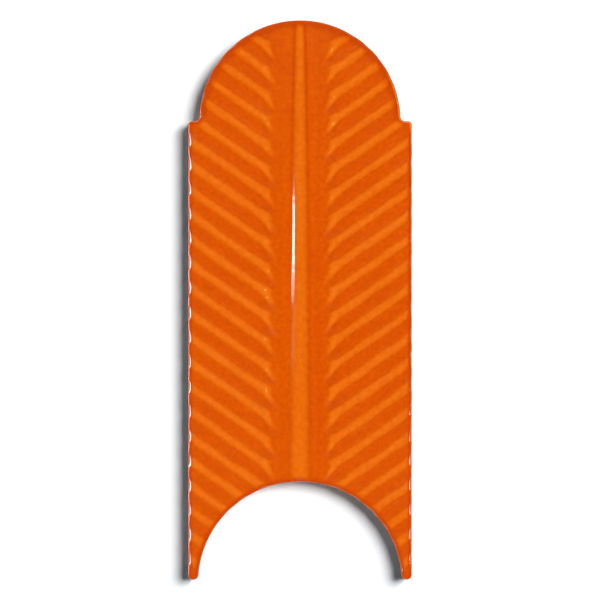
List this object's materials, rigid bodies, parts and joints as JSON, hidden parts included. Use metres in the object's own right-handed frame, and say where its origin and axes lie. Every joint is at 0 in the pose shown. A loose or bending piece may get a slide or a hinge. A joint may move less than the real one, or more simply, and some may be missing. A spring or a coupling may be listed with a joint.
{
  "type": "ceramic tile",
  "caption": "Glazed ceramic wall tile shaped like a feather: a round arch at one end, a matching hollow at the other, and a raised rib with slanting barbs in relief.",
  "frame": {"origin": "under the middle of the tile's bounding box, on its flat back", "axes": "+Z out of the glazed face, +Y along the rib towards the arch, +X to the right of the face"},
  "size_m": [0.1, 0.25, 0.0098],
  "materials": {
    "orange_glaze": "glossy translucent orange glaze, paler on the raised lines and deeper in the hollows, over a pale fired body"
  },
  "bodies": {
    "root": {"feather_tile": "orange_glaze"}
  },
  "joints": []
}
